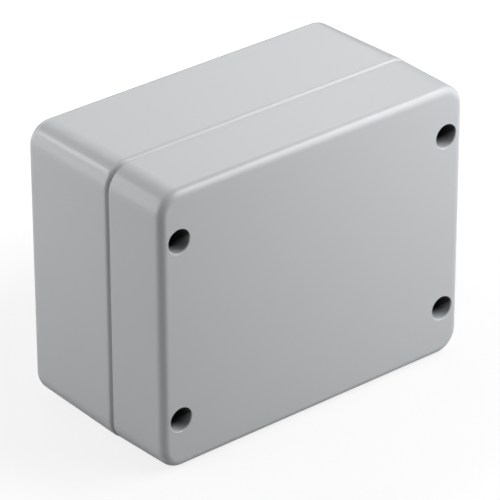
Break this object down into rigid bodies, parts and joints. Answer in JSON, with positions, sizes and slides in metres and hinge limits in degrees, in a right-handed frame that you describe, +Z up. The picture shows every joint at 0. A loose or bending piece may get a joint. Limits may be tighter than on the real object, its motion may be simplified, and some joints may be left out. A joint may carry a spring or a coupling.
{
  "type": "die cast aluminium box",
  "caption": "Powder coated die cast aluminium enclosure with a deep base, a gasketed lid on captive screws in deep corner wells, and mounting wells outside the seal.",
  "frame": {"origin": "centre of the overall box's underside, with the box standing on a long side", "axes": "+X along the width, +Y out of the mounting face, the lid facing -Y, +Z up"},
  "size_m": [0.14, 0.075, 0.11],
  "materials": {
    "powder_coat": "satin",
    "seal_rubber": "matt",
    "screw_steel": "satin",
    "washer_steel": "satin",
    "clamp_brass": "satin"
  },
  "bodies": {
    "base": {"base_casting": "powder_coat", "base_earth_clamp": "clamp_brass", "base_earth_spring_washer": "washer_steel", "base_earth_screw": "screw_steel"},
    "lid": {"lid_casting": "powder_coat", "gasket": "seal_rubber", "lid_earth_clamp": "clamp_brass", "lid_earth_spring_washer": "washer_steel", "lid_earth_screw": "screw_steel"},
    "washer_1": {"screw_washer_1": "washer_steel"},
    "screw_1": {"cover_screw_1": "screw_steel"},
    "washer_2": {"screw_washer_2": "washer_steel"},
    "screw_2": {"cover_screw_2": "screw_steel"},
    "washer_3": {"screw_washer_3": "washer_steel"},
    "screw_3": {"cover_screw_3": "screw_steel"},
    "washer_4": {"screw_washer_4": "washer_steel"},
    "screw_4": {"cover_screw_4": "screw_steel"}
  },
  "joints": [
    {"name": "lid_lift_off", "type": "slide", "parent": "base", "child": "lid", "axis": [0, -1, 0], "range_m": [0, 0.1]},
    {"name": "screw_1_travel", "type": "slide", "parent": "lid", "child": "washer_1", "axis": [0, -1, 0], "range_m": [0, 0.009]},
    {"name": "screw_1_turn", "type": "hinge", "parent": "washer_1", "child": "screw_1", "pos_m": [0.061, -0.0173, 0.09], "axis": [0, -1, 0], "range_deg": [0, 4051]},
    {"name": "screw_2_travel", "type": "slide", "parent": "lid", "child": "washer_2", "axis": [0, -1, 0], "range_m": [0, 0.009]},
    {"name": "screw_2_turn", "type": "hinge", "parent": "washer_2", "child": "screw_2", "pos_m": [-0.061, -0.0173, 0.09], "axis": [0, -1, 0], "range_deg": [0, 4051]},
    {"name": "screw_3_travel", "type": "slide", "parent": "lid", "child": "washer_3", "axis": [0, -1, 0], "range_m": [0, 0.009]},
    {"name": "screw_3_turn", "type": "hinge", "parent": "washer_3", "child": "screw_3", "pos_m": [-0.061, -0.0173, 0.02], "axis": [0, -1, 0], "range_deg": [0, 4051]},
    {"name": "screw_4_travel", "type": "slide", "parent": "lid", "child": "washer_4", "axis": [0, -1, 0], "range_m": [0, 0.009]},
    {"name": "screw_4_turn", "type": "hinge", "parent": "washer_4", "child": "screw_4", "pos_m": [0.061, -0.0173, 0.02], "axis": [0, -1, 0], "range_deg": [0, 4051]}
  ],
  "couplings": [
    {"joint": "screw_1_turn", "follows": "screw_1_travel", "rad_per_m": 7854},
    {"joint": "screw_2_turn", "follows": "screw_2_travel", "rad_per_m": 7854},
    {"joint": "screw_3_turn", "follows": "screw_3_travel", "rad_per_m": 7854},
    {"joint": "screw_4_turn", "follows": "screw_4_travel", "rad_per_m": 7854}
  ]
}
